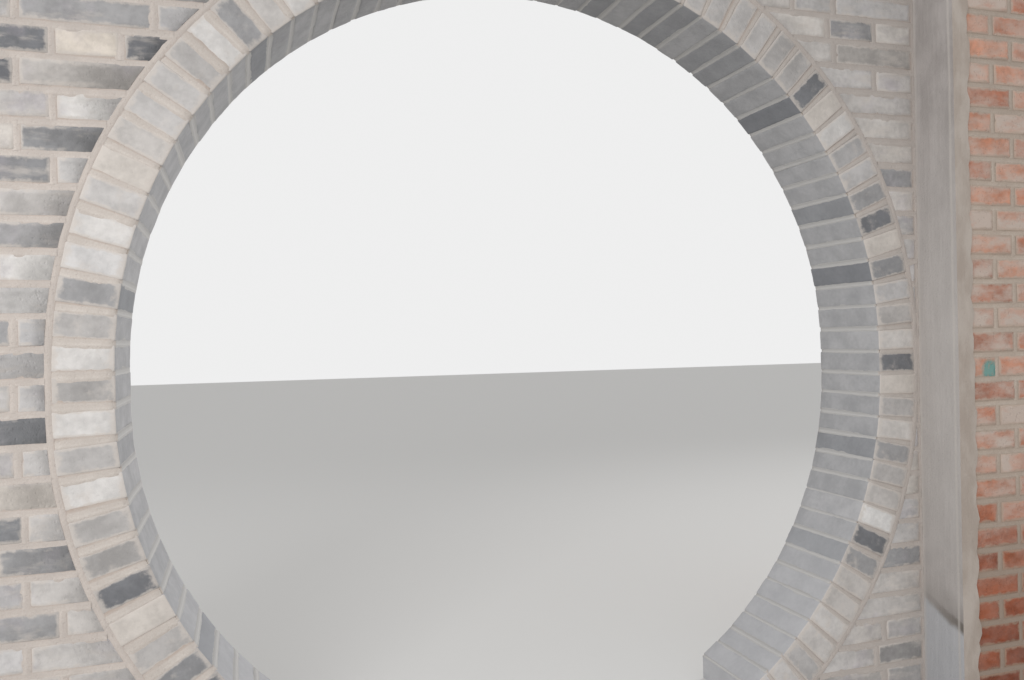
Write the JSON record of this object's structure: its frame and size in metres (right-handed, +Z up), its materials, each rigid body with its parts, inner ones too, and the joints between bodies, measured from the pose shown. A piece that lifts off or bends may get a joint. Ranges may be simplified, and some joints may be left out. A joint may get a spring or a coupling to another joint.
{
  "type": "round brick gateway",
  "caption": "Grey brick wall with a round moon gate opening framed by bricks on edge, and a red brick pier with a cement-rendered side.",
  "frame": {"origin": "on the ground, under the centre of the round opening, in the mid-plane of the wall", "axes": "+X along the wall towards the red pier, +Y from the front face to the back face, +Z up"},
  "size_m": [3.164, 0.55, 2.643],
  "materials": {
    "grey_brick": "matt fired clay with beige pointing",
    "ring_brick": "matt fired clay, mixed grey",
    "mortar": "rough pale mortar",
    "cement": "trowelled cement",
    "red_brick": "matt fired clay with lime bloom"
  },
  "bodies": {
    "root": {"pier_cap": "cement", "pier_coping": "red_brick", "pier_shaft": "red_brick", "render_back": "cement", "render_front": "cement", "ring_foot_left": "grey_brick", "ring_foot_right": "grey_brick", "ring_lower_left_1": "ring_brick", "ring_lower_left_2": "ring_brick", "ring_lower_left_3": "ring_brick", "ring_lower_right_1": "ring_brick", "ring_lower_right_2": "ring_brick", "ring_lower_right_3": "ring_brick", "ring_mortar_crown": "mortar", "ring_mortar_left": "mortar", "ring_mortar_lower_left": "mortar", "ring_mortar_lower_right": "mortar", "ring_mortar_right": "mortar", "ring_springer_left": "ring_brick", "ring_springer_right": "ring_brick", "ring_upper_1": "ring_brick", "ring_upper_2": "ring_brick", "ring_upper_3": "ring_brick", "ring_upper_4": "ring_brick", "ring_upper_5": "ring_brick", "ring_upper_6": "ring_brick", "ring_upper_7": "ring_brick", "ring_upper_8": "ring_brick", "spandrel_left": "grey_brick", "spandrel_right": "grey_brick", "wall_cap": "cement", "wall_coping": "grey_brick", "wall_left_lower": "grey_brick", "wall_over_arch": "grey_brick", "wall_right_lower": "grey_brick"}
  },
  "joints": []
}
